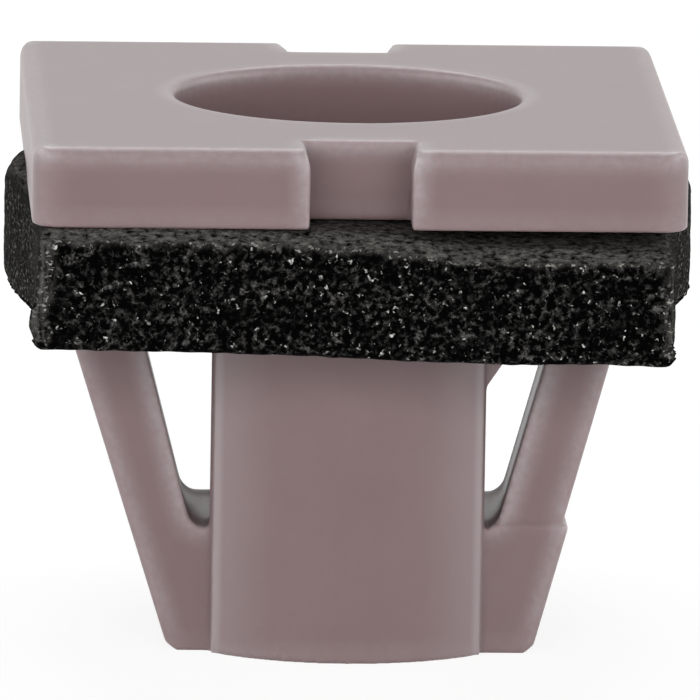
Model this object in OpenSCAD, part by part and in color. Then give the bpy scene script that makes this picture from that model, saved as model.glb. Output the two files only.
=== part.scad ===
// Snap-in trim clip: a square head with a round hole, a slotted shank with two
// flexible wings, and a ring of foam that seals under the head.
// The head's middle lies over the origin, the shank's tip stands on Z = 0, and the
// front is towards -Y.

/* [Head] */
// Width of the head plate, side to side
head_w = 16; // [15:0.1:20]
// Depth of the head plate, front to back
head_d = 16.6; // [15:0.1:20]
// Thickness of the head plate
head_t = 1.95; // [1.5:0.05:3]
// Radius of the head's upright corners
head_corner_r = 0.7; // [0.3:0.05:1.5]
// Radius of the head's upper edges
head_edge_r = 0.3; // [0.1:0.02:0.4]

/* [Head hole] */
// Diameter of the round hole through the head
hole_d = 8.64; // [7.8:0.02:9]
// Radius of the hole's rim
hole_rim_r = 0.16; // [0.05:0.01:0.3]

/* [Edge notches] */
// Width of a notch where it opens at the head's edge
notch_mouth = 2.95; // [2:0.05:4]
// Width of a notch at its floor
notch_floor = 2.45; // [1.5:0.05:3.5]
// Depth of a notch into the head
notch_depth = 1.5; // [0.5:0.05:2]

/* [Shank tube] */
// How far the shank's axis lies behind the head's middle
shank_back = 0.35; // [0:0.05:0.8]
// Length of the shank from the head's underside to its tip
shank_l = 11.55; // [10:0.05:14]
// Diameter of the tube's round front and back walls
tube_d = 9.8; // [9.4:0.05:11]
// Width of the tube across its flat sides, at the front
tube_w = 6.8; // [6:0.05:7.2]
// Draft of the flats, which narrow towards the back, in degrees
tube_draft = 3; // [1:0.1:4]
// Bevel of the upright edges between the flats and the round front wall
tube_edge = 0.2; // [0.1:0.02:0.4]
// Bore of the shank below the head
shank_bore_d = 7.4; // [7:0.05:7.6]
// Height of the cone that leads from the head's hole into the shank's bore
lead_in_h = 1.2; // [0.5:0.1:3]

/* [Plain wing] */
// Distance from the axis to the left wing's outer face, at the tip of the shank
wing_foot = 4.39; // [4.2:0.01:4.8]
// Lean of the outer face out from the axis, in degrees
wing_lean = 17.6; // [14:0.1:18.5]
// Lean of the inner face, in degrees
wing_inner_lean = 14.6; // [12:0.1:18]
// Thickness of the wing at the gap's floor, measured level
wing_t = 1.48; // [1.2:0.01:1.7]
// Turn of the inner face, which thins the wing towards the back, in degrees
wing_turn = 0; // [0:0.1:3]

/* [Latch wing] */
// Distance from the axis to the right wing's outer face, at the tip of the shank
latch_foot = 4.64; // [4.4:0.01:4.9]
// Lean of the outer face out from the axis, in degrees
latch_lean = 15.2; // [13:0.1:17]
// Lean of the inner face, in degrees
latch_inner_lean = 15.4; // [12:0.1:18]
// Thickness of the wing's root at the gap's floor, measured level
latch_t = 1.76; // [1.5:0.01:1.85]
// Turn of the inner face, which thins the wing towards the back, in degrees
latch_turn = 3.8; // [0:0.1:5]
// Height of the step on the outer face above the tip
step_h = 3.2; // [2.5:0.05:6]
// How far the arm above the step is set back from the root below it
step_in = 0.16; // [0.05:0.01:0.4]
// How far the root stands proud of the arm, front and back
root_proud = 0.06; // [0.02:0.01:0.1]
// Height of the stop ribs' lower ends above the tip
stop_h = 6.7; // [5:0.1:8]
// Lean of the stop ribs' edges out from the axis, in degrees
stop_lean = 34; // [20:1:36]
// Thickness of a stop rib, front to back
stop_t = 0.9; // [0.5:0.05:1.2]

/* [Both wings] */
// Depth of a wing, front to back
wing_d = 6.6; // [5:0.05:6.8]
// Radius of the wings' outer long edges
wing_edge_r = 0.17; // [0.05:0.01:0.3]
// Free space from the head's underside down to the wings' upper ends
grip_gap = 2.1; // [1:0.05:4]
// Chamfer on the wings' outer lower corners
toe_chamfer = 0.12; // [0.05:0.01:0.4]
// Height of the floor of the gap beside a wing above the tip, at the front
gap_floor_h = 3.08; // [2:0.02:5]
// Radius where the gap's floor turns up into the wing
gap_root_r = 0.5; // [0.2:0.05:0.6]
// Fall of the gap's floor towards the back, in degrees
gap_fall = 2.4; // [0:0.1:4]

/* [Foam seal] */
// Thickness of the foam
foam_t = 3; // [1.5:0.1:5]
// How far the foam stands out past the head's front and back edges
foam_proud = 0.2; // [0:0.05:1]
// How far the foam's corners lie inside the head's sides
foam_short = 0.2; // [0:0.05:0.3]
// How far a wing pushes out the foam's side
foam_bulge = 0.72; // [0.4:0.02:1.5]
// How far the push spreads along the foam's side, past the wing's front and back faces
foam_spread = 0.6; // [0.3:0.1:2]
// Clearance between the foam and the shank
foam_fit = 0.1; // [0.02:0.01:0.2]

/* [Hidden] */
$fn = 96;

// A small overlap that joins one shape to the next, or carries a cut past a face
lap = 0.5;
// Heights above the tip
head_top = shank_l + head_t;
tip_h = shank_l - grip_gap;
tube_r = tube_d / 2;
// How far the wings' upper ends and the stop ribs reach out from the axis
wing_reach = max(wing_foot + tan(wing_lean) * tip_h, latch_foot + tan(latch_lean) * tip_h);
stop_reach = tube_w / 2 + tan(stop_lean) * (shank_l - stop_h);
// The foam's width and depth, and half its width over the bulges
foam_w = head_w - 2 * foam_short;
foam_d = head_d + 2 * foam_proud;
foam_mid = foam_w / 2 + foam_bulge;
// Half the length of foam that a wing presses out, and the radius of the arc it makes there
press_half = wing_d / 2 + foam_spread;
foam_side_r = (pow(press_half, 2) + pow(foam_bulge, 2)) / (2 * foam_bulge);

plastic = [0.62, 0.55, 0.55];
foam_black = [0.09, 0.09, 0.09];

// Outward normal of an edge from a to b of an outline drawn anticlockwise
function edge_normal(a, b) = [b[1] - a[1], a[0] - b[0]] / norm(b - a);

// An outline with rounded corners, from the centres of its corner arcs
module rounded_outline(centres, r) {
    n = len(centres);
    polygon([
        for (i = [0 : n - 1])
            for (far = [0, 1])
                centres[i] + r * edge_normal(centres[(i + far + n - 1) % n], centres[(i + far) % n])
    ]);
    for (c = centres)
        translate(c)
            circle(r);
}

// A rectangle with rounded corners, centred
module rounded_rect(w, d, r) {
    x = w / 2 - r;
    y = d / 2 - r;
    rounded_outline([[-x, -y], [x, -y], [x, y], [-x, y]], r);
}

// An upright slab seen from the side: its upper corners are rounded, its lower ones square
module round_topped(w, h, r) {
    translate([-w / 2, 0])
        square([w, h - r]);
    translate([-w / 2 + r, 0])
        square([w - 2 * r, h]);
    for (x = [-1, 1])
        translate([x * (w / 2 - r), h - r])
            circle(r);
}

// The head's plan, with a tapered notch in the middle of its front and back edges
module head_plan() {
    edge = head_d / 2;
    slant = (notch_mouth - notch_floor) / 2 / notch_depth;
    difference() {
        rounded_rect(head_w, head_d, head_corner_r);
        for (side = [0, 1])
            mirror([0, side])
                polygon([
                    [-notch_floor / 2, edge - notch_depth],
                    [notch_floor / 2, edge - notch_depth],
                    [notch_mouth / 2 + slant * lap, edge + lap],
                    [-notch_mouth / 2 - slant * lap, edge + lap]
                ]);
    }
}

// The head plate: its plan and its two side views, each cutting the others' edges round
module head() {
    translate([0, 0, shank_l])
        intersection() {
            linear_extrude(head_t)
                head_plan();
            rotate([90, 0, 0])
                linear_extrude(head_d + 2 * lap, center = true)
                    round_topped(head_w, head_t, head_edge_r);
            rotate([90, 0, 90])
                linear_extrude(head_w + 2 * lap, center = true)
                    round_topped(head_d, head_t, head_edge_r);
        }
}

// The hole through the head, its cone and the shank's bore, as one turned cut
module bore() {
    hole_r = hole_d / 2;
    bore_r = shank_bore_d / 2;
    rotate_extrude()
        difference() {
            polygon([
                [0, -lap],
                [bore_r, -lap],
                [bore_r, shank_l - lead_in_h],
                [hole_r, shank_l],
                [hole_r, head_top - hole_rim_r],
                [hole_r + hole_rim_r, head_top - hole_rim_r],
                [hole_r + hole_rim_r, head_top + lap],
                [0, head_top + lap]
            ]);
            translate([hole_r + hole_rim_r, head_top - hole_rim_r])
                circle(hole_rim_r);
        }
}

// The tube's plan: a disc with a flat on each side, which narrow towards the back,
// and the upright edges taken off
module tube_plan() {
    half = tube_w / 2;
    edge_y = sqrt(pow(tube_r, 2) - pow(half, 2));
    back = half - 2 * edge_y * tan(tube_draft);
    intersection() {
        circle(tube_r);
        polygon([
            [-half + tube_edge, -tube_r], [half - tube_edge, -tube_r],
            [half - tube_edge, -edge_y], [half, -edge_y + tube_edge],
            [back, edge_y], [back, tube_r],
            [-back, tube_r], [-back, edge_y],
            [-half, -edge_y + tube_edge], [-half + tube_edge, -edge_y]
        ]);
    }
}

module tube() {
    linear_extrude(shank_l + lap)
        tube_plan();
}

// A right wing's section before its inner side is cut: it reaches in from the outer face at X = 0,
// or from as far behind that face as set_in, and its outer edges are round
module wing_section(wide, deep, set_in) {
    edge_x = -set_in - wing_edge_r;
    edge_y = deep / 2 - wing_edge_r;
    polygon([
        [-wide, -deep / 2],
        [edge_x, -deep / 2],
        [-set_in, -edge_y],
        [-set_in, edge_y],
        [edge_x, deep / 2],
        [-wide, deep / 2]
    ]);
    for (y = [-edge_y, edge_y])
        translate([edge_x, y])
            circle(wing_edge_r);
}

// The block that a right wing is cut from, between two heights, leaning out from the foot
module wing_block(foot, lean, deep, set_in, low, high) {
    wide = foot + tan(lean) * gap_floor_h - tube_w / 2 + 2 * lap;
    intersection() {
        translate([foot, 0, 0])
            rotate([0, lean, 0])
                translate([0, 0, -shank_l / 2])
                    linear_extrude(2 * shank_l)
                        wing_section(wide, deep, set_in);
        translate([-head_w, -head_d, low])
            cube([2 * head_w, 2 * head_d, high - low]);
    }
}

// The corner taken off a right wing's outer lower edge
module toe_cut(foot, lean) {
    translate([foot, 0, 0])
        rotate([0, 45 + lean / 2, 0])
            cube([2 * toe_chamfer, wing_d + 2 * lap, 2 * toe_chamfer * sqrt(2)], center = true);
}

// The gap between the tube and a right wing: a floor that falls towards the back, a round root,
// and a leaning outer wall that turns away towards the back
module side_gap(root_x, lean, turn) {
    start = tube_w / 2 - 2 * lap;
    top = shank_l + lap;
    arc_x = root_x - gap_root_r * (1 - sin(lean)) / cos(lean);
    arc_z = gap_floor_h + gap_root_r;
    translate([root_x, -wing_d / 2, gap_floor_h])
        rotate([90 - gap_fall, 0, -turn])
            translate([-root_x, -gap_floor_h, 0])
                linear_extrude(4 * wing_d, center = true) {
                    polygon([
                        [start, gap_floor_h],
                        [arc_x, gap_floor_h],
                        [arc_x + gap_root_r * cos(lean), arc_z - gap_root_r * sin(lean)],
                        [root_x + tan(lean) * (top - gap_floor_h), top],
                        [start, top]
                    ]);
                    translate([arc_x, arc_z])
                        circle(gap_root_r);
                }
}

// The plain wing, drawn on the right
module plain_wing() {
    difference() {
        wing_block(wing_foot, wing_lean, wing_d, 0, 0, tip_h);
        toe_cut(wing_foot, wing_lean);
        side_gap(wing_foot + tan(wing_lean) * gap_floor_h - wing_t, wing_inner_lean, wing_turn);
    }
}

// The latch wing: a full root, and a thinner arm above a step on its outer face
module latch_wing() {
    difference() {
        union() {
            wing_block(latch_foot, latch_lean, wing_d + 2 * root_proud, 0, 0, step_h);
            wing_block(latch_foot, latch_lean, wing_d, step_in, step_h - lap, tip_h);
        }
        toe_cut(latch_foot, latch_lean);
        side_gap(latch_foot + tan(latch_lean) * gap_floor_h - latch_t, latch_inner_lean, latch_turn);
    }
}

// Ribs beside the tube that stop the latch wing from bending in too far
module stop_ribs() {
    start = tube_w / 2 - lap;
    for (side = [0, 1])
        mirror([0, side, 0])
            translate([0, wing_d / 2, 0])
                rotate([90, 0, 0])
                    linear_extrude(stop_t)
                        polygon([
                            [start, stop_h - lap],
                            [tube_w / 2, stop_h],
                            [stop_reach, shank_l],
                            [start, shank_l]
                        ]);
}

// The moulding: head, tube, two wings and stop ribs, bored through
module clip_body() {
    color(plastic)
        difference() {
            union() {
                head();
                translate([0, shank_back, 0]) {
                    tube();
                    latch_wing();
                    mirror([1, 0, 0])
                        plain_wing();
                    stop_ribs();
                }
            }
            translate([0, shank_back, 0])
                bore();
        }
}

// The foam's plan: a rectangle, with its sides pushed out in an arc where the wings press
module foam_plan() {
    square([foam_w, foam_d], center = true);
    translate([0, shank_back])
        intersection() {
            square([2 * foam_mid + lap, wing_d + 4 * foam_spread], center = true);
            intersection_for (side = [-1, 1])
                translate([side * (foam_mid - foam_side_r), 0])
                    circle(foam_side_r);
        }
}

// The opening that the shank passes through
module shank_opening() {
    circle(tube_r + foam_fit);
    square([2 * (wing_reach + foam_fit), wing_d + 2 * foam_fit], center = true);
}

// The die-cut foam ring against the head's underside
module foam_seal() {
    color(foam_black)
        translate([0, 0, shank_l - foam_t])
            linear_extrude(foam_t)
                difference() {
                    foam_plan();
                    translate([0, shank_back])
                        shank_opening();
                }
}

clip_body();
foam_seal();
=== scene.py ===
"""Looks of a snap-in trim clip: a satin moulding with soft edges, and the foam ring under its head."""
import logging
import math
from dataclasses import dataclass, field
from enum import Enum
from typing import Any

import bmesh
import bpy
import numpy as np
from mathutils import Matrix, Vector, noise


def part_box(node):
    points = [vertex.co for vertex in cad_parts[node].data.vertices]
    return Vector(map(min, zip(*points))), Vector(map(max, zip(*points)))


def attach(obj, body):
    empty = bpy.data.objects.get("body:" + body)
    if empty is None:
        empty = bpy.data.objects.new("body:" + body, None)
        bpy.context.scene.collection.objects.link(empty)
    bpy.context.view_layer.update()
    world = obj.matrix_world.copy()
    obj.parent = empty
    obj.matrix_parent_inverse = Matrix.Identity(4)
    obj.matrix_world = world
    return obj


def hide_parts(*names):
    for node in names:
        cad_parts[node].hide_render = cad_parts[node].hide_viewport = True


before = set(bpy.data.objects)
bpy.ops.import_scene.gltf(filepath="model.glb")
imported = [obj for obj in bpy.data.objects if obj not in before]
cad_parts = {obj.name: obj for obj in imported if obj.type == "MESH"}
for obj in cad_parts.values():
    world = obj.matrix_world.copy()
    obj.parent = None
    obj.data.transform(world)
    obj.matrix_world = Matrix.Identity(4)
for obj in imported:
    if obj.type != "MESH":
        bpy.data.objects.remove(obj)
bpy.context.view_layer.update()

log = logging.getLogger("trim_clip")

MM = 0.001
BODY = "root"
# How far the shank's axis lies behind the head's middle
SHANK_BACK_MM = 0.35

Pair = tuple[float, float]
Tree = bpy.types.NodeTree
Socket = bpy.types.NodeSocket


class Node(Enum):
    """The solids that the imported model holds."""

    CLIP = "clip_body"
    FOAM = "foam_seal"


class Slot(Enum):
    """The record's material slots."""

    PLASTIC = "clip_plastic"
    FOAM = "seal_foam"


def linear(hex_colour: str) -> tuple[float, float, float, float]:
    """Turns an sRGB hex colour into linear RGBA.

    Args:
        hex_colour: a colour such as "#8C7A7B".

    Returns:
        Linear red, green and blue, and an alpha of 1.
    """
    channels = [int(hex_colour[i:i + 2], 16) / 255 for i in (1, 3, 5)]
    red, green, blue = [c / 12.92 if c <= 0.04045 else ((c + 0.055) / 1.055) ** 2.4 for c in channels]
    return red, green, blue, 1.0


def add_node(tree: Tree, kind: str, settings: dict[Any, Any] | None = None,
             links: dict[Any, Socket] | None = None) -> bpy.types.Node:
    """Adds a shader node, sets it up and links its inputs.

    Args:
        tree: the node tree that takes the node.
        kind: Blender's name for the node's type, without the ShaderNode before it.
        settings: values by name, for the node's own properties or, by name or number, its inputs; From and
            To each take a pair, the least and the most.
        links: the output socket that feeds each input, by the input's name or number.

    Returns:
        The new node.
    """
    node = tree.nodes.new("ShaderNode" + kind)
    for name, value in (settings or {}).items():
        if isinstance(name, str) and hasattr(node, name):
            setattr(node, name, value)
        elif name in ("From", "To"):
            for end, bound in zip(("Min", "Max"), value):
                node.inputs[f"{name} {end}"].default_value = bound
        else:
            node.inputs[name].default_value = value
    for name, source in (links or {}).items():
        tree.links.new(source, node.inputs[name])
    return node


def new_material(name: str) -> bpy.types.Material:
    """Makes an empty node material.

    Args:
        name: the material's name.

    Returns:
        The material, with no nodes in it.
    """
    material = bpy.data.materials.new(name)
    material.use_nodes = True
    material.node_tree.nodes.clear()
    return material


@dataclass(frozen=True)
class MouldedAcetal:
    """Moulded acetal, coloured through: a satin, slightly waxy skin, a little mottled under the surface."""

    name: str = "moulded_acetal_mauve_grey"
    colour: str = "#806B6C"
    shade: str = "#786364"
    # Colour of the painted sheen on the edges and of the painted highlight down the tube
    edge: str = "#A2999A"
    # Flow of the melt leaves soft clouds in the colour
    cloud_mm: float = 2.6
    # The mould's spark-eroded skin, drawn coarser than the real 0.02 mm so that it shows
    grain_mm: float = 0.07
    grain_depth_mm: float = 0.004
    grain_strength: float = 0.35
    # Painted sheen: the outer edges are painted paler and greyer over this width, for the light that they
    # catch: how much solid lies around where that starts and where it is full, and how far down an edge may
    # face
    border_mm: float = 0.62
    border_solid: Pair = (0.98, 0.55)
    sheen_facing: Pair = (-0.3, -0.14)
    border_share: float = 0.85
    # The painted sheen is mottled: the spots' size, the bounds of their noise and the shares that these give
    mottle_mm: float = 0.2
    mottle_noise: Pair = (0.3, 0.7)
    mottle_share: Pair = (0.7, 1.2)
    # A painted highlight runs down the tube's front edges, a pale line with a faint margin: how far it lies
    # from the middle, how far forward it starts, how high it reaches and over what length it fades
    highlight_x_mm: float = 3.25
    highlight_front_mm: float = -3.0
    highlight_top_mm: float = 11.2
    highlight_fade_mm: float = 0.13
    # Half the width of the line and of its margin, and how pale each is
    highlight_bands: tuple[Pair, ...] = ((0.2, 0.4), (1.5, 0.25))
    roughness: Pair = (0.28, 0.36)
    # The mould is polished outside and left rougher in gaps: their size, and how open a place is where the
    # roughness starts and where it is full
    gap_mm: float = 3.0
    gap_open: Pair = (0.8, 0.45)
    gap_roughness: float = 0.4
    ior: float = 1.48
    scatter_mm: float = 0.8
    scatter: float = 0.9
    scatter_rgb: tuple[float, float, float] = (0.85, 1.0, 1.0)

    def material(self) -> bpy.types.Material:
        """Builds the plastic's material.

        Returns:
            The material.
        """
        made = new_material(self.name)
        tree = made.node_tree
        place = add_node(tree, "TexCoord").outputs["Object"]
        cloud = add_node(tree, "TexNoise",
                         {"Scale": 1 / (self.cloud_mm * MM), "Detail": 3.0, "Roughness": 0.55},
                         {"Vector": place})
        grain = add_node(tree, "TexNoise", {"Scale": 1 / (self.grain_mm * MM), "Detail": 2.0},
                         {"Vector": place})
        tint = add_node(tree, "Mix", {"data_type": "RGBA", 6: linear(self.colour), 7: linear(self.shade)},
                        {0: cloud.outputs["Fac"]})
        rough = add_node(tree, "MapRange", {"To": self.roughness}, {"Value": grain.outputs["Fac"]})
        hollow = add_node(tree, "AmbientOcclusion",
                          {"only_local": True, "samples": 4, "Distance": self.gap_mm * MM})
        inside = add_node(tree, "MapRange", {"From": self.gap_open, "To Max": self.gap_roughness},
                          {"Value": hollow.outputs["AO"]})
        rough = add_node(tree, "Math", {"operation": "ADD"},
                         {0: rough.outputs["Result"], 1: inside.outputs["Result"]})
        # Painted sheen: convex edges that face up are painted paler, as lit edges look
        edges = add_node(tree, "AmbientOcclusion",
                         {"inside": True, "only_local": True, "samples": 8, "Distance": self.border_mm * MM})
        near = add_node(tree, "MapRange", {"From": self.border_solid, "To Max": self.border_share},
                        {"Value": edges.outputs["AO"]})
        soft = add_node(tree, "Bevel", {"samples": 6, "Radius": 2 * self.border_mm * MM})
        facing = add_node(tree, "SeparateXYZ", links={0: soft.outputs["Normal"]})
        above = add_node(tree, "MapRange", {"From": self.sheen_facing}, {"Value": facing.outputs["Z"]})
        mottle = add_node(tree, "TexNoise", {"Scale": 1 / (self.mottle_mm * MM), "Detail": 3.0},
                          {"Vector": place})
        uneven = add_node(tree, "MapRange", {"From": self.mottle_noise, "To": self.mottle_share},
                          {"Value": mottle.outputs["Fac"]})
        sheen_mask = near.outputs["Result"]
        for part in (above, uneven):
            sheen_mask = add_node(tree, "Math", {"operation": "MULTIPLY"},
                              {0: sheen_mask, 1: part.outputs["Result"]}).outputs["Value"]
        # The painted highlight joins the painted sheen
        sheen_mask = add_node(tree, "Math", {"operation": "MAXIMUM"},
                          {0: sheen_mask, 1: self.painted_highlight(tree, place)})
        sheened = add_node(tree, "Mix", {"data_type": "RGBA", 7: linear(self.edge)},
                         {0: sheen_mask.outputs["Value"], 6: tint.outputs[2]})
        bump = add_node(tree, "Bump",
                        {"Strength": self.grain_strength, "Distance": self.grain_depth_mm * MM},
                        {"Height": grain.outputs["Fac"]})
        skin = add_node(tree, "BsdfPrincipled",
                        {"IOR": self.ior, "Subsurface Weight": self.scatter,
                         "Subsurface Scale": self.scatter_mm * MM,
                         "Subsurface Radius": self.scatter_rgb},
                        {"Base Color": sheened.outputs[2], "Roughness": rough.outputs["Value"],
                         "Normal": bump.outputs["Normal"]})
        add_node(tree, "OutputMaterial", links={"Surface": skin.outputs["BSDF"]})
        return made

    def painted_highlight(self, tree: Tree, place: Socket) -> Socket:
        """Paints a highlight line down the tube's front edges.

        Args:
            tree: the material's node tree.
            place: the point on the moulding, in metres.

        Returns:
            The painted highlight's paleness, 0 away from it.
        """
        along = add_node(tree, "SeparateXYZ", links={0: place})
        aside = add_node(tree, "Math", {"operation": "ABSOLUTE"}, {0: along.outputs["X"]})
        off = add_node(tree, "Math", {"operation": "SUBTRACT", 1: self.highlight_x_mm * MM},
                       {0: aside.outputs["Value"]})
        off = add_node(tree, "Math", {"operation": "ABSOLUTE"}, {0: off.outputs["Value"]})
        front, top, fade = self.highlight_front_mm, self.highlight_top_mm, self.highlight_fade_mm
        bands = []
        for half, share in self.highlight_bands:
            band = None
            limits = ((off.outputs["Value"], half, 0.0, share),
                      (along.outputs["Y"], front, front - fade, 1.0),
                      (along.outputs["Z"], top, top - fade, 1.0))
            for length, none, full, most in limits:
                step = add_node(tree, "MapRange", {"interpolation_type": "SMOOTHSTEP",
                                                   "From": (none * MM, full * MM), "To Max": most},
                                {"Value": length}).outputs["Result"]
                band = step if band is None else add_node(
                    tree, "Math", {"operation": "MULTIPLY"}, {0: band, 1: step}).outputs["Value"]
            bands.append(band)
        line, margin = bands
        return add_node(tree, "Math", {"operation": "ADD"}, {0: line, 1: margin}).outputs["Value"]


@dataclass(frozen=True)
class OpenCellFoam:
    """Black polyurethane foam, slit from a block.

    Its cut front is all open cells: black hollows, painted darker towards each cell's bottom as painted
    shade, grey struts and a few painted glints on them. Where it was pressed or rubbed it has a skin, finer
    and streaked along its
    height, and greyer: partly the skin's own tone, partly painted light on the rounded upper edge and end
    corners. Its sides are painted darker as painted shade, and painted glints lie along the line where the
    skin ends.
    """

    name: str = "open_cell_foam_black"
    strut: str = "#747370"
    # Black of the hollows, also the painted shade at the bottom of each cell
    pit: str = "#030303"
    # Painted glints on the struts
    painted_glint: str = "#D0D0CA"
    # The skin's tones: greyer than the cut cells, partly the skin's own tone, partly painted light on the
    # rounded upper edge and end corners
    skin_low: str = "#060606"
    skin_high: str = "#62605C"
    # Painted shade: the darker skin on faces that look to the side
    side_shade: str = "#2C2B29"
    # Painted glints along the line where the skin ends
    rim: str = "#9A9893"
    # Crumbs of torn strut, how far they stray from even rows, and the pores between them
    crumb_mm: float = 0.16
    drift_mm: float = 0.12
    pore_mm: float = 0.08
    # Patches of closer and wider cells, and the painted glints on the struts
    patch_mm: float = 0.7
    glint_mm: float = 0.14
    # Width and length of the fibres that lie along the upper edge, and of the streaks down the sides
    fibre_mm: Pair = (0.08, 0.2)
    streak_mm: Pair = (0.09, 0.5)
    # How much shorter the painted glints along the skin's edge are than the fibres
    rim_glint_share: float = 1.5
    # The bounds of each noise, from nothing to full
    crumb_noise: Pair = (0.45, 0.78)
    pore_noise: Pair = (0.36, 0.6)
    patch_noise: Pair = (0.34, 0.7)
    glint_noise: Pair = (0.67, 0.82)
    skin_noise: Pair = (0.36, 0.72)
    rim_glint_noise: Pair = (0.54, 0.74)
    # What a pore, a patch of wide cells and the bottom of a cell leave of a strut; the darker cell bottoms
    # are painted shade
    pore_least: float = 0.2
    patch_least: float = 0.15
    depth_least: float = 0.25
    # How far to the side a face looks where the painted shade on the sides starts and where it is full, and
    # how closed the skin is where the painted glints along its edge start and where they are thickest
    side_facing: Pair = (0.6, 0.95)
    rim_glint_cover: Pair = (0.15, 0.5)
    # Depth and strength of the fine fuzz
    fuzz_mm: float = 0.04
    fuzz_strength: float = 0.8
    roughness: float = 0.8
    specular: float = 0.01
    depth_name: str = "cell_depth"
    skin_name: str = "skin"
    upper_name: str = "upper_edge"

    def material(self) -> bpy.types.Material:
        """Builds the foam's material.

        Returns:
            The material.
        """
        made = new_material(self.name)
        tree = made.node_tree
        place = add_node(tree, "TexCoord").outputs["Object"]
        cells = self.cells(tree, place)
        skin = self.skin(tree, place)
        cover = add_node(tree, "Attribute", {"attribute_name": self.skin_name})
        colour = add_node(tree, "Mix", {"data_type": "RGBA"},
                          {0: cover.outputs["Fac"], 6: cells, 7: skin})
        # Painted glints along the skin's edge
        torn = self.painted_rim_glints(tree, place, cover.outputs["Fac"])
        colour = add_node(tree, "Mix", {"data_type": "RGBA", 7: linear(self.rim)},
                          {0: torn, 6: colour.outputs[2]})
        fuzz = add_node(tree, "TexVoronoi", {"Scale": 1 / (self.pore_mm * MM)}, {"Vector": place})
        bump = add_node(tree, "Bump",
                        {"Strength": self.fuzz_strength, "Distance": self.fuzz_mm * MM},
                        {"Height": fuzz.outputs["Distance"]})
        surface = add_node(tree, "BsdfPrincipled",
                           {"Roughness": self.roughness, "Specular IOR Level": self.specular},
                           {"Base Color": colour.outputs[2], "Normal": bump.outputs["Normal"]})
        add_node(tree, "OutputMaterial", links={"Surface": surface.outputs["BSDF"]})
        return made

    def cells(self, tree: Tree, place: Socket) -> Socket:
        """Colours the open cells.

        Args:
            tree: the material's node tree.
            place: the point on the foam, in metres.

        Returns:
            The colour of hollows with painted shade, struts and painted glints.
        """
        depth = add_node(tree, "Attribute", {"attribute_name": self.depth_name})
        drift = add_node(tree, "TexNoise",
                         {"Scale": 1 / (self.drift_mm * MM), "Detail": 2.0}, {"Vector": place})
        amount = self.drift_mm * MM
        bent = add_node(tree, "VectorMath", {"operation": "MULTIPLY_ADD", 1: (amount,) * 3},
                        {0: drift.outputs["Color"], 2: place}).outputs["Vector"]
        crumb = add_node(tree, "TexNoise",
                         {"Scale": 1 / (self.crumb_mm * MM), "Detail": 3.0, "Roughness": 0.55},
                         {"Vector": bent})
        fleck = add_node(tree, "MapRange", {"interpolation_type": "SMOOTHSTEP", "From": self.crumb_noise},
                         {"Value": crumb.outputs["Fac"]})
        # Painted shade: the colour darkens towards the bottom of each cell
        ridge = add_node(tree, "MapRange", {"interpolation_type": "SMOOTHSTEP", "From": (1.0, 0.0),
                                            "To Min": self.depth_least}, {"Value": depth.outputs["Fac"]})
        parts = [ridge]
        for size, detail, bounds, least in ((self.pore_mm, 1.0, self.pore_noise, self.pore_least),
                                            (self.patch_mm, 2.0, self.patch_noise, self.patch_least)):
            spread = add_node(tree, "TexNoise", {"Scale": 1 / (size * MM), "Detail": detail},
                              {"Vector": place})
            parts.append(add_node(tree, "MapRange", {"From": bounds, "To Min": least},
                                  {"Value": spread.outputs["Fac"]}))
        web = fleck.outputs["Result"]
        for part in parts:
            web = add_node(tree, "Math", {"operation": "MULTIPLY"},
                           {0: web, 1: part.outputs["Result"]}).outputs["Value"]
        body = add_node(tree, "Mix", {"data_type": "RGBA", 6: linear(self.pit), 7: linear(self.strut)},
                        {0: web})
        # Painted glints: small spots on the struts
        spot = add_node(tree, "TexNoise",
                        {"Scale": 1 / (self.glint_mm * MM), "Detail": 1.0, "Distortion": 0.3},
                        {"Vector": bent})
        small = add_node(tree, "MapRange", {"interpolation_type": "SMOOTHSTEP", "From": self.glint_noise},
                         {"Value": spot.outputs["Fac"]})
        glint = add_node(tree, "Math", {"operation": "MULTIPLY"},
                         {0: small.outputs["Result"], 1: ridge.outputs["Result"]})
        shown = add_node(tree, "Mix", {"data_type": "RGBA", 7: linear(self.painted_glint)},
                         {0: glint.outputs["Value"], 6: body.outputs[2]})
        return shown.outputs[2]

    def skin(self, tree: Tree, place: Socket) -> Socket:
        """Colours the pressed skin: greyer partly as painted light, and darker where it faces the side as
        painted shade.

        Args:
            tree: the material's node tree.
            place: the point on the foam, in metres.

        Returns:
            The colour of the streaked skin.
        """
        across, along = (1 / (size * MM) for size in self.fibre_mm)
        width, length = (1 / (size * MM) for size in self.streak_mm)
        tones = []
        for scale in ((along, along, across), (width, width, length)):
            drawn = add_node(tree, "Mapping", {"Scale": scale}, {"Vector": place})
            grain = add_node(tree, "TexNoise", {"Scale": 1.0, "Detail": 3.0, "Roughness": 0.65},
                             {"Vector": drawn.outputs["Vector"]})
            tones.append(add_node(tree, "MapRange", {"From": self.skin_noise},
                                  {"Value": grain.outputs["Fac"]}).outputs["Result"])
        # Painted shade: skin that faces the side is darker
        face = add_node(tree, "NewGeometry")
        facing = add_node(tree, "SeparateXYZ", links={0: face.outputs["Normal"]})
        outward = add_node(tree, "Math", {"operation": "ABSOLUTE"}, {0: facing.outputs["X"]})
        side = add_node(tree, "MapRange", {"From": self.side_facing}, {"Value": outward.outputs["Value"]})
        light = add_node(tree, "Mix",
                         {"data_type": "RGBA", 6: linear(self.skin_high), 7: linear(self.side_shade)},
                         {0: side.outputs["Result"]})
        upper = add_node(tree, "Attribute", {"attribute_name": self.upper_name})
        tone = add_node(tree, "Mix", links={0: upper.outputs["Fac"], 2: tones[1], 3: tones[0]})
        whole = add_node(tree, "Mix", {"data_type": "RGBA", 6: linear(self.skin_low)},
                         {0: tone.outputs[0], 7: light.outputs[2]})
        return whole.outputs[2]

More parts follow.
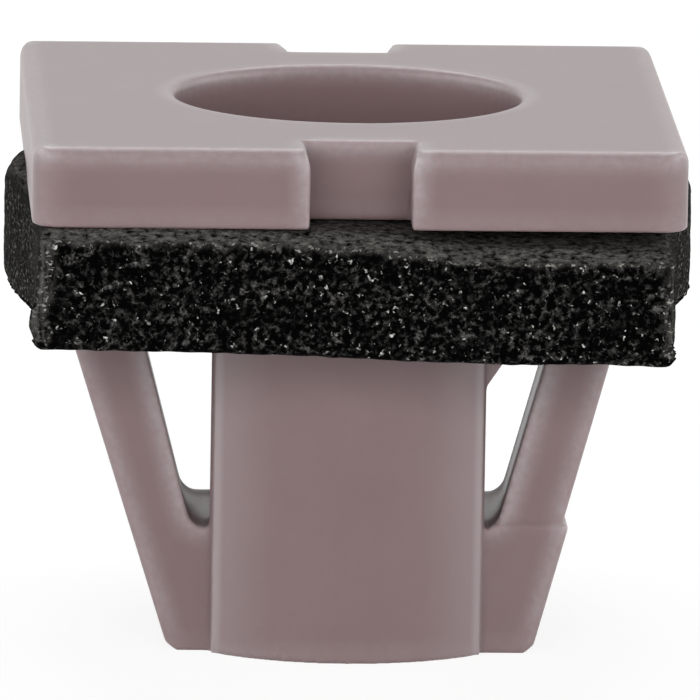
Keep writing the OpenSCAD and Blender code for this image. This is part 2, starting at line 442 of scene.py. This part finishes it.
    def painted_rim_glints(self, tree: Tree, place: Socket,
                 cover: Socket) -> Socket:
        """Paints glints along the line where the skin ends.

        Args:
            tree: the material's node tree.
            place: the point on the foam, in metres.
            cover: how closed the skin is, from 0 to 1.

        Returns:
            1 on a painted glint, 0 elsewhere.
        """
        ends = add_node(tree, "Math", {"operation": "PINGPONG", 1: 0.5}, {0: cover})
        line = add_node(tree, "MapRange", {"interpolation_type": "SMOOTHSTEP", "From": self.rim_glint_cover},
                        {"Value": ends.outputs["Value"]})
        across, along = (1 / (size * MM) for size in self.fibre_mm)
        along *= self.rim_glint_share
        drawn = add_node(tree, "Mapping", {"Scale": (along, along, across)}, {"Vector": place})
        grain = add_node(tree, "TexNoise", {"Scale": 1.0, "Detail": 2.0, "Distortion": 0.6},
                         {"Vector": drawn.outputs["Vector"]})
        rim_spot = add_node(tree, "MapRange", {"interpolation_type": "SMOOTHSTEP", "From": self.rim_glint_noise},
                         {"Value": grain.outputs["Fac"]})
        both = add_node(tree, "Math", {"operation": "MULTIPLY"},
                        {0: line.outputs["Result"], 1: rim_spot.outputs["Result"]})
        return both.outputs["Value"]


@dataclass(frozen=True)
class WhiteSweep:
    """Matt white paper under the clip: it shows white, and keeps a light shadow."""

    name: str = "matt_white_paper"
    paper: str = "#F2F2F2"
    seen_paper: str = "#7C7C7C"
    seen_glow: float = 0.84

    def material(self) -> bpy.types.Material:
        """Builds the paper's material.

        Returns:
            The material.
        """
        made = new_material(self.name)
        tree = made.node_tree
        lit = add_node(tree, "BsdfDiffuse", {"Color": linear(self.paper)})
        seen = add_node(tree, "BsdfDiffuse", {"Color": linear(self.seen_paper)})
        glow = add_node(tree, "Emission", {"Strength": self.seen_glow})
        both = add_node(tree, "AddShader",
                        links={0: seen.outputs["BSDF"], 1: glow.outputs["Emission"]})
        mix = add_node(tree, "MixShader",
                       links={0: seen_ray(tree), 1: lit.outputs["BSDF"], 2: both.outputs["Shader"]})
        add_node(tree, "OutputMaterial", links={"Surface": mix.outputs["Shader"]})
        return made


def seen_ray(tree: Tree) -> Socket:
    """Tells rays that show a surface from rays that only light the scene.

    Args:
        tree: the node tree that takes the nodes.

    Returns:
        A socket that is 1 for camera, glossy and transmission rays, and 0 for others.
    """
    path = add_node(tree, "LightPath")
    total = path.outputs["Is Camera Ray"]
    for ray in ("Is Glossy Ray", "Is Transmission Ray"):
        total = add_node(tree, "Math", {"operation": "MAXIMUM"},
                         {0: total, 1: path.outputs[ray]}).outputs["Value"]
    return total


def place_piece(piece: bpy.types.Object, node: Node, material: bpy.types.Material) -> None:
    """Puts a finished piece in the place of the solid that it dresses.

    Args:
        piece: the piece, in the part's own frame.
        node: the solid that it stands for.
        material: the piece's finish.
    """
    piece.data.materials.clear()
    piece.data.materials.append(material)
    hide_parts(node.value)
    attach(piece, BODY)
    log.info("%s: %d faces", piece.name, len(piece.data.polygons))


@dataclass
class ClipMoulding:
    """The one-piece moulding: the solid's own form, on an even grid, with every edge softened."""

    finish: MouldedAcetal = field(default_factory=MouldedAcetal)
    name: str = "clip_moulding"
    # Spacing of the even grid, and how often each point moves towards its neighbours
    grid_mm: float = 0.065
    soft_passes: int = 4
    soft_share: float = 0.5
    # What the skin gains again of the size that the edges lost
    regain_mm: float = 0.015
    weld_mm: float = 0.003
    triangles: int = 190_000
    # The notches' floors in the solid: half their width, and how far in they lie
    notch_half_mm: float = 1.225
    notch_depth_mm: float = 1.5
    # The front notch's walls stand straight and flare at the top: half the clear width below and at the top,
    # and the flare's height
    clear_half_mm: float = 1.265
    flare_half_mm: float = 1.385
    flare_mm: float = 0.45
    # Its cheeks: how far out and how far in they reach, and the steps that keep clear of the head's upper
    # edge, each with its distance behind the front and below the top
    cheek_root_mm: float = 1.6
    cheek_depth_mm: float = 1.26
    cheek_steps_mm: tuple[Pair, ...] = ((0.0, 0.17), (0.17, 0.02))
    # The gaps' floors are whole: the fillings that close the bore's breaks, from the axis, half their length,
    # the floor's height over the axis and its fall towards the back
    filling_mm: Pair = (3.15, 3.95)
    filling_half_mm: float = 2.3
    floor_mm: float = 2.94
    floor_fall_deg: float = 2.4
    # The tube's round front reaches further out: its radius, from where to where, and how far back
    tube_r_mm: float = 4.9
    tube_edge_mm: Pair = (3.0, 3.33)
    tube_edge_back_mm: float = 3.2
    # The hole's rim and the notches' upper edges are rounder: where the rim lies, how near, how many passes
    hole_r_mm: float = 4.4
    round_reach_mm: float = 0.32
    round_passes: int = 14

    def build(self, solid: bpy.types.Object) -> bpy.types.Object:
        """Rebuilds the solid with soft edges and dresses it.

        Args:
            solid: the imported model's clip body.

        Returns:
            The finished piece.
        """
        piece = bpy.data.objects.new(self.name, solid.data.copy())
        bpy.context.scene.collection.objects.link(piece)
        # The grid's spacing has a lower limit, so the work is done in millimetres
        piece.data.transform(Matrix.Scale(1 / MM, 4))
        self.mend_forms(piece.data)
        weld = piece.modifiers.new("weld", "WELD")
        weld.merge_threshold = self.weld_mm
        even = piece.modifiers.new("even_grid", "REMESH")
        even.mode = "VOXEL"
        even.voxel_size = self.grid_mm
        soft = piece.modifiers.new("soft_edges", "SMOOTH")
        soft.factor = self.soft_share
        soft.iterations = self.soft_passes
        full = piece.modifiers.new("full_size", "DISPLACE")
        full.mid_level = 0.0
        full.strength = self.regain_mm
        self.settle(piece)
        self.round_rims(piece)
        lighter = piece.modifiers.new("lighter", "DECIMATE")
        lighter.ratio = min(1.0, self.triangles / (2 * len(piece.data.polygons)))
        self.settle(piece)
        piece.data.transform(Matrix.Scale(MM, 4))
        piece.data.shade_smooth()
        place_piece(piece, Node.CLIP, self.finish.material())
        return piece

    def add_shell(self, shape: bmesh.types.BMesh, ends: list[list[tuple[float, float, float]]]) -> None:
        """Adds a closed shell between two outlines; the even grid joins it to the rest.

        Args:
            shape: the mesh that takes it, in millimetres.
            ends: the two outlines, point for point.
        """
        near, far = ([shape.verts.new(point) for point in end] for end in ends)
        shape.faces.new(near)
        shape.faces.new(far)
        for k in range(len(near)):
            shape.faces.new((near[k - 1], near[k], far[k], far[k - 1]))

    def close_floors(self, shape: bmesh.types.BMesh) -> None:
        """Closes the breaks that the bore leaves in the floors of the gaps.

        Args:
            shape: the moulding's mesh, in millimetres.
        """
        half = self.filling_half_mm
        fall = math.tan(math.radians(self.floor_fall_deg)) * half
        outline = [(-half, 0.0), (half, 0.0), (half, self.floor_mm - fall), (-half, self.floor_mm + fall)]
        for side in (-1, 1):
            self.add_shell(shape, [[(side * x, y + SHANK_BACK_MM, z) for y, z in outline]
                                   for x in self.filling_mm])

    def widen_tube(self, shape: bmesh.types.BMesh) -> None:
        """Carries the tube's round front on to its outermost edges.

        Args:
            shape: the moulding's mesh, in millimetres.
        """
        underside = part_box(Node.FOAM.value)[1].z / MM
        inner, outer = self.tube_edge_mm
        outline = [(inner, -self.tube_edge_back_mm), (outer, -self.tube_edge_back_mm),
                   (outer, -math.sqrt(self.tube_r_mm ** 2 - outer ** 2)),
                   (inner, -math.sqrt(self.tube_r_mm ** 2 - inner ** 2))]
        for side in (-1, 1):
            self.add_shell(shape, [[(side * x, y + SHANK_BACK_MM, z) for x, y in outline]
                                   for z in (0.0, underside)])

    def straighten_notch(self, shape: bmesh.types.BMesh) -> None:
        """Makes the front notch's walls straight, with a flare at the top.

        Args:
            shape: the moulding's mesh, in millimetres.
        """
        low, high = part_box(Node.CLIP.value)
        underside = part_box(Node.FOAM.value)[1].z / MM
        front, top = low.y / MM, high.z / MM
        for side in (-1, 1):
            corner = Vector((side * self.notch_half_mm, front + self.notch_depth_mm, top))
            for point in shape.verts:
                if (point.co - corner).length < self.grid_mm / 2:
                    point.co.x = side * self.flare_half_mm
            for inset, gap in self.cheek_steps_mm:
                share = 1 - gap / self.flare_mm
                lip = self.clear_half_mm + (self.flare_half_mm - self.clear_half_mm) * share
                section = [(self.cheek_root_mm, underside), (self.clear_half_mm, underside),
                           (self.clear_half_mm, top - self.flare_mm), (lip, top - gap),
                           (self.cheek_root_mm, top - gap)]
                self.add_shell(shape, [[(side * x, y, z) for x, z in section]
                                       for y in (front + inset, front + self.cheek_depth_mm)])

    def mend_forms(self, mesh: bpy.types.Mesh) -> None:
        """Gives the copy the small forms that the solid lacks.

        Args:
            mesh: the moulding's mesh, in millimetres.
        """
        shape = bmesh.new()
        shape.from_mesh(mesh)
        self.straighten_notch(shape)
        self.close_floors(shape)
        self.widen_tube(shape)
        bmesh.ops.recalc_face_normals(shape, faces=shape.faces)
        shape.to_mesh(mesh)
        shape.free()

    def round_rims(self, piece: bpy.types.Object) -> None:
        """Smooths the hole's rim and the notches' upper edges further.

        Args:
            piece: the moulding on its even grid, in millimetres.
        """
        points = np.zeros(3 * len(piece.data.vertices), np.float32)
        piece.data.vertices.foreach_get("co", points)
        x, y, z = points.reshape(-1, 3).T
        low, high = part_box(Node.CLIP.value)
        below = z - high.z / MM
        rim = np.hypot(np.hypot(x, y - SHANK_BACK_MM) - self.hole_r_mm, below)
        floor = np.hypot(np.abs(y) + low.y / MM + self.notch_depth_mm, below)
        in_notch = np.abs(x) < self.flare_half_mm
        near = (rim < self.round_reach_mm) | ((floor < self.round_reach_mm) & in_notch)
        group = piece.vertex_groups.new(name="rims")
        group.add(np.flatnonzero(near).tolist(), 1.0, "REPLACE")
        soft = piece.modifiers.new("round_rims", "SMOOTH")
        soft.vertex_group = group.name
        soft.factor = self.soft_share
        soft.iterations = self.round_passes
        self.settle(piece)
        piece.vertex_groups.clear()

    def settle(self, piece: bpy.types.Object) -> None:
        """Turns a piece's modifiers into its mesh.

        Args:
            piece: the piece whose modifiers are used up.
        """
        bpy.context.view_layer.update()
        graph = bpy.context.evaluated_depsgraph_get()
        settled = bpy.data.meshes.new_from_object(piece.evaluated_get(graph))
        piece.modifiers.clear()
        piece.data = settled


class Region(Enum):
    """The stretches of the foam ring's section, in the order that they are lofted."""

    TOP = 0
    TOP_ROUND = 1
    WALL = 2
    BOTTOM_ROUND = 3
    BOTTOM = 4
    INNER = 5


@dataclass(frozen=True)
class Row:
    """One loop of points of the ring: how far in it lies, how high, and how much of the bulge it takes."""

    region: Region
    inset: np.ndarray
    height: np.ndarray
    swell: np.ndarray


def ease(low: float, high: float, value: np.ndarray) -> np.ndarray:
    """Goes smoothly from 0 to 1.

    Args:
        low: where the result leaves 0.
        high: where it reaches 1.
        value: the values to ease.

    Returns:
        The eased values.
    """
    share = np.clip((value - low) / (high - low), 0, 1)
    return share * share * (3 - 2 * share)


@dataclass
class FoamRing:
    """The ring of foam: cut square in front, pushed out by the wings, sagging at its front right corner."""

    finish: OpenCellFoam = field(default_factory=OpenCellFoam)
    name: str = "foam_ring"
    # The opening round the shank
    opening_r_mm: float = 5.0
    opening_half_w_mm: float = 7.49
    opening_half_d_mm: float = 3.4
    # How far the foam that a wing pushes out past the head swells up beside it
    rise_mm: float = 0.2
    rise_squeeze: Pair = (0.3, 0.7)
    rise_below_mm: float = 0.4
    # A wing's push on the side: how far, how much more at the right, over what length each way, and what
    # share of it at the bottom, at the left and at the right
    bulge_mm: float = 0.72
    right_share: float = 1.08
    bulge_reach_mm: float = 4.4
    bulge_side: Pair = (0.8, 0.98)
    low_swell: Pair = (0.72, 0.95)
    swell_height_mm: float = 0.6
    turn_deg: float = -0.7
    corner_mm: float = 0.14
    # Radius of the upper edge at the left and at the right, and of the lower edge
    top_round_mm: Pair = (0.34, 0.44)
    bottom_round_mm: float = 0.2
    # Where the sides bulge, the share of the bulge that is rounded off above
    bulge_round: float = 0.7
    head_gap_mm: float = 0.01
    # The front left corner's lower half stands out: how far, over what distance from the corner, and between
    # which heights
    corner_swell_mm: float = 0.17
    corner_reach_mm: Pair = (1.6, 0.5)
    corner_rise_mm: Pair = (0.1, 0.6)
    corner_fall_mm: Pair = (1.5, 0.7)
    # The lower edge hangs a little, the front droops to the right, and its upper part sinks there
    slack_mm: float = 0.05
    droop_mm: float = 0.25
    droop_span_mm: float = 4.5
    sink_mm: float = 0.22
    sink_span_mm: Pair = (0.5, 3.0)
    sink_height_mm: float = 1.2
    # Height of the waves, and the length and share of the long and the short ones
    wave_mm: float = 0.05
    waves: tuple[Pair, ...] = ((2.2, 1.0), (2.2 / 5, 0.5))
    # Cells of the cut front, how far they stray from round, and how deep they are
    cell_mm: float = 0.26
    stray_mm: float = 0.14
    # Where the noise starts; without it, it starts from the clock and each run gives other cells
    seed: int = 7
    cell_depth_mm: float = 0.1
    cell_wall: Pair = (0.02, 0.5)
    # The lower edge has shallow cells over this height, and the skin's edge frays over this length
    calm_mm: float = 0.3
    fray_mm: float = 0.35
    # How far the skin reaches down from the top and in from the ends, how much its edge frays, how far to the
    # front a cut face looks, and what the skin leaves open above and at the sides
    skin_top_mm: Pair = (0.24, 0.48)
    skin_ends_mm: Pair = (0.15, 0.5)
    fray_share: float = 0.16
    cut_facing: Pair = (0.6, 0.95)
    cut_fray: float = 0.12
    open_above: float = 0.12
    open_aside: float = 0.3
    # How bare each region is
    bare_share: dict[Region, float] = field(default_factory=lambda: {
        Region.TOP: 0.2, Region.TOP_ROUND: 1.0, Region.WALL: 1.0, Region.BOTTOM_ROUND: 1.0,
        Region.BOTTOM: 0.6, Region.INNER: 0.2})
    columns: int = 1000
    rows: dict[Region, int] = field(default_factory=lambda: {
        Region.TOP: 6, Region.TOP_ROUND: 9, Region.WALL: 46, Region.BOTTOM_ROUND: 5,
        Region.BOTTOM: 26, Region.INNER: 4})

    def outline(self, low: Vector, high: Vector) -> np.ndarray:
        """Draws the ring's outline before it bulges, evenly spaced.

        Args:
            low: the solid's lowest corner, in metres.
            high: its highest corner.

        Returns:
            Points in plan, in millimetres, anticlockwise from the front left corner.
        """
        half_w = high.x / MM - self.bulge_mm
        half_d = (high.y - low.y) / 2 / MM
        corners = np.array([(-half_w, -half_d), (half_w, -half_d), (half_w, half_d), (-half_w, half_d)])
        closed = np.concatenate([corners, corners[:1]])
        length = np.concatenate([[0.0], np.cumsum(np.linalg.norm(np.diff(closed, axis=0), axis=1))])
        even = np.linspace(0, length[-1], self.columns, endpoint=False)
        points = np.column_stack([np.interp(even, length, closed[:, k]) for k in (0, 1)])
        spread = self.corner_mm / (length[-1] / self.columns)
        away = np.minimum(np.arange(self.columns), self.columns - np.arange(self.columns))
        weights = np.exp(-0.5 * (away / spread) ** 2)
        blur = np.fft.fft(weights / weights.sum())
        points = np.column_stack([np.fft.ifft(np.fft.fft(points[:, k]) * blur).real for k in (0, 1)])
        turn = math.radians(self.turn_deg)
        spin = np.array([[math.cos(turn), math.sin(turn)], [-math.sin(turn), math.cos(turn)]])
        return points @ spin

    def push(self, outline: np.ndarray) -> np.ndarray:
        """Works out how far the wings push the foam's sides out.

        Args:
            outline: the outline's points.

        Returns:
            The full push at each column, in plan.
        """
        along = np.clip(np.abs(outline[:, 1] - SHANK_BACK_MM) / self.bulge_reach_mm, 0, 1)
        side = ease(*self.bulge_side, np.abs(outline[:, 0]) / np.abs(outline[:, 0]).max())
        far = self.bulge_mm * np.cos(along * math.pi / 2) ** 2 * side
        far = np.where(outline[:, 0] > 0, far * self.right_share, far)
        return np.column_stack([np.sign(outline[:, 0]) * far, np.zeros_like(far)])

    def opening(self, outer: np.ndarray) -> np.ndarray:
        """Draws the shank's opening, with one point straight in from each point of the outline.

        Args:
            outer: the bulged outline's points.

        Returns:
            The opening's points, in millimetres.
        """
        axis = np.array([0.0, SHANK_BACK_MM])
        away = outer - axis
        away = away / np.linalg.norm(away, axis=1)[:, None]
        sides = np.array([self.opening_half_w_mm, self.opening_half_d_mm])
        slot = (sides / np.maximum(np.abs(away), 1e-6)).min(axis=1)
        return axis + away * np.maximum(slot, self.opening_r_mm)[:, None]

    def section(self, reach: np.ndarray, top_round: np.ndarray, low_swell: np.ndarray,
                height: float) -> list[Row]:
        """Lists the rows of the ring's section, from the opening over the top, down the wall and back in.

        Args:
            reach: distance from the outline to the opening at each column, in millimetres.
            top_round: radius of the upper edge at each column.
            low_swell: share of the bulge at the bottom, at each column.
            height: the ring's thickness.

        Returns:
            The rows, in order.
        """
        low_round = self.bottom_round_mm
        flat = np.ones_like(reach)
        made = []
        for region in Region:
            for t in np.linspace(0, 1, self.rows[region], endpoint=False):
                bend = t * math.pi / 2
                inset, level = {
                    Region.TOP: (reach + (top_round - reach) * t, flat * height),
                    Region.TOP_ROUND: (top_round * (1 - math.sin(bend)),
                                       height - top_round * (1 - math.cos(bend))),
                    Region.WALL: (flat * 0, (height - top_round) * (1 - t) + low_round * t),
                    Region.BOTTOM_ROUND: (flat * low_round * (1 - math.cos(bend)),
                                          flat * low_round * (1 - math.sin(bend))),
                    Region.BOTTOM: (low_round + (reach - low_round) * t, flat * 0),
                    Region.INNER: (reach, flat * height * t),
                }[region]
                low_share = ease(0, self.swell_height_mm, level)
                if region in (Region.BOTTOM, Region.INNER):
                    low_share = flat * (t if region is Region.BOTTOM else 1.0)
                made.append(Row(region, inset, level, low_swell + (1 - low_swell) * low_share))
        return made

    def build(self) -> bpy.types.Object:
        """Lofts the ring, opens its cells and dresses it.

        Returns:
            The finished piece.
        """
        low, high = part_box(Node.FOAM.value)
        height = (high.z - low.z) / MM - self.head_gap_mm
        outline = self.outline(low, high)
        push = self.push(outline)
        outer = outline + push
        inward = self.opening(outer) - outer
        reach = np.linalg.norm(inward, axis=1)
        inward = inward / reach[:, None]
        rightness = np.clip(outer[:, 0] / (high.x / MM), -1, 1) * 0.5 + 0.5
        top_round = self.top_round_mm[0] + (self.top_round_mm[1] - self.top_round_mm[0]) * rightness
        top_round = np.maximum(top_round, np.abs(push[:, 0]) * self.bulge_round)
        low_swell = self.low_swell[0] + (self.low_swell[1] - self.low_swell[0]) * rightness
        rows = self.section(reach, top_round, low_swell, height)
        points = np.stack([
            np.column_stack([outline + push * row.swell[:, None] + inward * row.inset[:, None], row.height])
            for row in rows])
        count, columns = points.shape[:2]
        index = np.arange(count * columns).reshape(count, columns)
        after = np.roll(index, -1, axis=0)
        faces = np.stack([index, np.roll(index, -1, axis=1), np.roll(after, -1, axis=1), after],
                         axis=-1).reshape(-1, 4)
        mesh = bpy.data.meshes.new(self.name)
        flat = points.reshape(-1, 3)
        mesh.from_pydata((flat * MM).tolist(), [], faces.tolist())
        mesh.update()
        normals = np.zeros(flat.size, np.float32)
        mesh.vertices.foreach_get("normal", normals)
        normals = normals.reshape(-1, 3)
        regions = np.repeat([row.region.value for row in rows], columns)
        pits = self.pits(flat)
        bare, upper = self.openness(flat, normals, regions, height)
        squeeze = np.tile(np.abs(push[:, 0]) / self.bulge_mm, count)
        moved = self.displace(flat, normals, regions, pits * bare ** 2, squeeze, height)
        moved[:, 2] += low.z / MM
        mesh.vertices.foreach_set("co", (moved * MM).astype(np.float32).ravel())
        layers = {self.finish.depth_name: pits, self.finish.skin_name: 1 - bare,
                  self.finish.upper_name: upper}
        for name, values in layers.items():
            layer = mesh.attributes.new(name, "FLOAT", "POINT")
            layer.data.foreach_set("value", values.astype(np.float32))
        mesh.shade_smooth()
        mesh.update()
        piece = bpy.data.objects.new(self.name, mesh)
        bpy.context.scene.collection.objects.link(piece)
        place_piece(piece, Node.FOAM, self.finish.material())
        return piece

    def pits(self, points: np.ndarray) -> np.ndarray:
        """Works out how deep in a cell each point lies.

        Args:
            points: points in millimetres.

        Returns:
            0 on a strut, up to 1 well inside a cell, by point.
        """
        noise.seed_set(self.seed)
        stray = np.array([noise.noise_vector(Vector(p / self.cell_mm)) for p in points]) * self.stray_mm
        near = np.array([noise.voronoi(Vector(p / self.cell_mm))[0][:2] for p in points + stray])
        return ease(*self.cell_wall, near[:, 1] - near[:, 0])

    def openness(self, points: np.ndarray, normals: np.ndarray, regions: np.ndarray,
                 height: float) -> tuple[np.ndarray, np.ndarray]:
        """Works out how open the foam is: fully on the cut front and back, least where it was pressed.

        Args:
            points: the plain ring's points, in millimetres above its underside.
            normals: its outward directions.
            regions: the region of each point, as a number.
            height: the ring's thickness.

        Returns:
            By point, 0 on a closed skin, up to 1 on the bare cut; and 1 on the upper edge, 0 well below it.
        """
        share = np.array([self.bare_share[region] for region in Region])[regions]
        fray = np.array([noise.noise(Vector(p / self.fray_mm)) for p in points])
        below = ease(*self.skin_top_mm, height - points[:, 2] + self.fray_share * fray)
        facing = ease(*self.cut_facing, np.abs(normals[:, 1]) + self.cut_fray * fray)
        aside = np.abs(points[:, 0])
        ends = ease(*self.skin_ends_mm, aside.max() - self.bulge_mm - aside + self.fray_share * fray)
        outside = np.isin(regions, [Region.TOP_ROUND.value, Region.WALL.value])
        rim = self.open_above + (1 - self.open_above) * below
        side = self.open_aside + (1 - self.open_aside) * np.minimum(facing, ends)
        return np.where(outside, share * rim * side, share), 1 - below

    def displace(self, points: np.ndarray, normals: np.ndarray, regions: np.ndarray, pits: np.ndarray,
                 squeeze: np.ndarray, height: float) -> np.ndarray:
        """Makes the ring wavy, sinks its cells, lifts it beside the head and lets its front sag.

        Args:
            points: the plain ring's points, in millimetres above its underside.
            normals: its outward directions.
            regions: the region of each point, as a number.
            pits: how deep each point is sunk, from 0 to 1.
            squeeze: how much of the bulge the point's column has, from 0 to 1.
            height: the ring's thickness.

        Returns:
            The points of the finished surface, in millimetres.
        """
        x, y, z = points.T
        wave = sum(np.array([noise.noise(Vector(p / length)) for p in points]) * share
                   for length, share in self.waves)
        hidden = np.isin(regions, [Region.TOP.value, Region.INNER.value])
        deep = self.cell_depth_mm * ease(0, self.calm_mm, z) * pits
        shift = np.where(hidden, 0.0, self.wave_mm * wave - deep)
        moved = points + normals * shift[:, None]
        raised = ease(height / 2, height - self.rise_below_mm, z)
        lift = self.rise_mm * ease(*self.rise_squeeze, squeeze) * raised
        moved[:, 2] += np.where(hidden, 0.0, lift)
        moved[:, 2] -= self.slack_mm * (1 - z / height)
        corner = np.hypot(x - x.min() - self.bulge_mm, y - y.min())
        bump = ease(*self.corner_rise_mm, z) * ease(*self.corner_fall_mm, z)
        moved[:, 0] -= self.corner_swell_mm * ease(*self.corner_reach_mm, corner) * bump
        frontness = np.clip(-y / np.abs(y).max(), 0, 1) ** 2
        upper = ease(height - self.sink_height_mm, height, z)
        moved[:, 2] -= self.sink_mm * frontness * ease(*self.sink_span_mm, x) * upper
        moved[:, 2] -= self.droop_mm * frontness * ease(-self.droop_span_mm, self.droop_span_mm, x)
        return moved


@dataclass(frozen=True)
class SoftBox:
    """One soft box: its place, its size, its power, and whether the sheen mirrors it."""

    name: str
    place_mm: tuple[float, float, float]
    width_mm: float
    length_mm: float
    power_w: float
    mirrored: bool = True


@dataclass
class Studio:
    """A white sweep, soft boxes above, in front and at the sides, and the camera on the photograph's line."""

    floor_half_m: float = 3.0
    sky: float = 0.12
    # Where the camera looks, and from where
    aim_mm: tuple[float, float, float] = (0.151, 0.35, 7.009)
    yaw_deg: float = 2.483
    rise_deg: float = 10.278
    roll_deg: float = 0.936
    distance_mm: float = 400.0
    pixels_per_mm: float = 40.05
    frame_px: float = 700.0
    sensor_mm: float = 36.0
    clip_m: Pair = (0.01, 20.0)
    boxes: tuple[SoftBox, ...] = (
        SoftBox("overhead", (0.0, 130.0, 232.0), 150.0, 265.0, 0.32),
        SoftBox("front", (-15.0, -330.0, 100.0), 460.0, 130.0, 1.17, mirrored=False),
        SoftBox("left", (-270.0, -10.0, 60.0), 380.0, 300.0, 0.6),
        SoftBox("right", (270.0, -10.0, 60.0), 380.0, 300.0, 0.6),
    )

    def build(self) -> None:
        """Lays the floor, hangs the lights and sets up the camera."""
        self.lay_floor()
        self.light_world()
        for box in self.boxes:
            self.hang_box(box)
        self.set_camera()
        bpy.context.scene.view_settings.view_transform = "Standard"

    def lay_floor(self) -> None:
        """Lays the white paper that the clip stands on."""
        half = self.floor_half_m
        mesh = bpy.data.meshes.new("floor")
        mesh.from_pydata([(-half, -half, 0), (half, -half, 0), (half, half, 0), (-half, half, 0)], [],
                         [(0, 1, 2, 3)])
        floor = bpy.data.objects.new("floor", mesh)
        bpy.context.scene.collection.objects.link(floor)
        floor.data.materials.append(WhiteSweep().material())

    def light_world(self) -> None:
        """Fills the room with even light, and shows it white."""
        world = bpy.data.worlds.new("white_room")
        world.use_nodes = True
        tree = world.node_tree
        tree.nodes.clear()
        lit = add_node(tree, "Background", {"Strength": self.sky})
        shown = add_node(tree, "Background", {"Strength": 1.0})
        for room in (lit, shown):
            room.inputs["Color"].default_value = (1.0, 1.0, 1.0, 1.0)
        mix = add_node(tree, "MixShader", links={0: seen_ray(tree), 1: lit.outputs["Background"],
                                                 2: shown.outputs["Background"]})
        add_node(tree, "OutputWorld", links={"Surface": mix.outputs["Shader"]})
        bpy.context.scene.world = world

    def hang_box(self, box: SoftBox) -> None:
        """Hangs one soft box that faces the clip.

        Args:
            box: where it hangs, how wide it is and how strong.
        """
        light = bpy.data.lights.new(box.name, "AREA")
        light.shape = "RECTANGLE"
        light.size = box.width_mm * MM
        light.size_y = box.length_mm * MM
        light.energy = box.power_w
        lamp = bpy.data.objects.new(box.name, light)
        lamp.location = Vector(box.place_mm) * MM
        facing = Vector(self.aim_mm) - Vector(box.place_mm)
        lamp.rotation_euler = facing.to_track_quat("-Z", "Y").to_euler()
        lamp.visible_camera = False
        lamp.visible_glossy = box.mirrored
        bpy.context.scene.collection.objects.link(lamp)

    def set_camera(self) -> None:
        """Sets up a long lens that looks slightly down on the clip's front."""
        yaw, rise, roll = (math.radians(a) for a in (self.yaw_deg, self.rise_deg, self.roll_deg))
        back = Vector((-math.sin(yaw) * math.cos(rise), -math.cos(yaw) * math.cos(rise), math.sin(rise)))
        level = Vector((math.cos(yaw), -math.sin(yaw), 0.0))
        upright = back.cross(level)
        right = math.cos(roll) * level + math.sin(roll) * upright
        up = -math.sin(roll) * level + math.cos(roll) * upright
        lens = bpy.data.cameras.new("camera")
        lens.sensor_width = self.sensor_mm
        lens.lens = self.pixels_per_mm * self.distance_mm / self.frame_px * self.sensor_mm
        lens.clip_start, lens.clip_end = self.clip_m
        camera = bpy.data.objects.new("camera", lens)
        turn = Matrix((right, up, back)).transposed()
        place = (Vector(self.aim_mm) + back * self.distance_mm) * MM
        camera.matrix_world = Matrix.Translation(place) @ turn.to_4x4()
        bpy.context.scene.collection.objects.link(camera)
        bpy.context.scene.camera = camera


def main() -> None:
    """Builds the studio, the moulding and the foam, in that order."""
    logging.basicConfig(level=logging.INFO, format="%(name)s: %(message)s")
    Studio().build()
    ClipMoulding().build(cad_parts[Node.CLIP.value])
    FoamRing().build()


if __name__ == "__main__":
    main()
